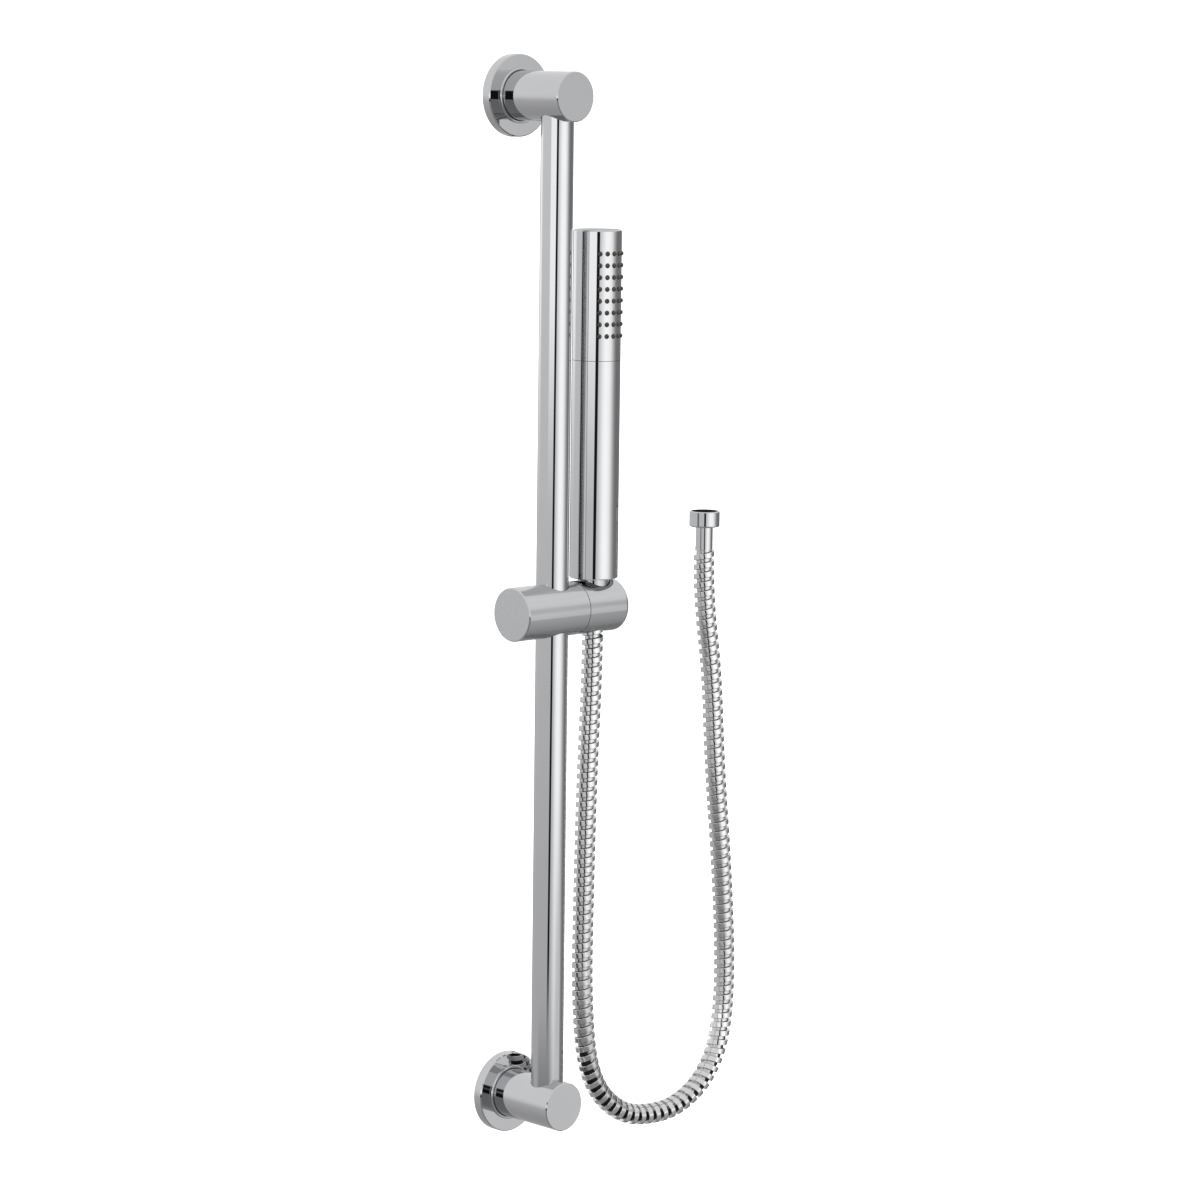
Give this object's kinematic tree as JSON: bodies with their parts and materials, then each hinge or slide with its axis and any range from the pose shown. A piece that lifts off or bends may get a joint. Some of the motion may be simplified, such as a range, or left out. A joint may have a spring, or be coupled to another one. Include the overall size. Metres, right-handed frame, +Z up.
{
  "type": "wall rail hand shower set",
  "caption": "Round wall bar on two brackets with a sliding, swivelling holder whose cradle carries a stick hand shower on an interlocked metal hose.",
  "frame": {"origin": "middle of the upper bracket's back face, on the wall", "axes": "+Z up along the bar, +Y into the wall, +X to the right as seen from the room"},
  "size_m": [0.2469, 0.0707, 0.8499],
  "materials": {
    "polished_chrome": "polished",
    "bare_steel": "satin",
    "grey_nylon": "matte",
    "black_seal": "matte",
    "nozzle_rubber": "satin",
    "turned_brass": "satin",
    "hose_strip": "polished"
  },
  "bodies": {
    "rail": {"upper_wall_plate": "bare_steel", "upper_flange": "polished_chrome", "upper_flange_ring": "black_seal", "upper_post": "polished_chrome", "upper_grub_screw": "bare_steel", "upper_bar_plug": "grey_nylon", "lower_wall_plate": "bare_steel", "lower_flange": "polished_chrome", "lower_flange_ring": "black_seal", "lower_post": "polished_chrome", "lower_grub_screw": "bare_steel", "lower_bar_plug": "grey_nylon", "bar": "polished_chrome"},
    "slider": {"glide_sleeve": "grey_nylon", "hose": "hose_strip", "end_neck": "polished_chrome"},
    "holder": {"holder_shell": "polished_chrome", "holder_end_cap": "polished_chrome", "holder_core": "grey_nylon", "brake_shoe": "grey_nylon", "brake_spring": "bare_steel", "pivot_drag_washer": "grey_nylon"},
    "cradle": {"cradle": "polished_chrome", "cradle_liner": "grey_nylon", "pivot_screw": "bare_steel", "pivot_spring_washer": "bare_steel", "cone_nut": "polished_chrome", "cone_stem": "turned_brass", "cone_washer": "black_seal", "handle_tube": "polished_chrome", "inlet_connector": "turned_brass", "flow_restrictor": "grey_nylon", "head_joint": "grey_nylon", "head_seal": "black_seal", "water_pipe": "grey_nylon", "spray_head": "polished_chrome", "nozzle_pad": "nozzle_rubber", "spray_core": "grey_nylon"},
    "hose_nut": {"end_nut": "polished_chrome", "end_washer": "black_seal"}
  },
  "joints": [
    {"name": "bar_slide", "type": "slide", "parent": "rail", "child": "slider", "axis": [0, 0, 1], "range_m": [-0.334, 0.338]},
    {"name": "holder_swivel", "type": "hinge", "parent": "slider", "child": "holder", "pos_m": [0, -0.05, -0.392], "axis": [0, 0, 1], "range_deg": [-90, 8], "deforming": ["hose"]},
    {"name": "cradle_tilt", "type": "hinge", "parent": "holder", "child": "cradle", "pos_m": [0.0218, -0.05, -0.392], "axis": [1, 0, 0], "range_deg": [-5, 80], "deforming": ["hose"]},
    {"name": "hose_nut_spin", "type": "hinge", "parent": "slider", "child": "hose_nut", "pos_m": [0.164, -0.05, -0.339], "axis": [0, 0, 1], "continuous": true}
  ]
}
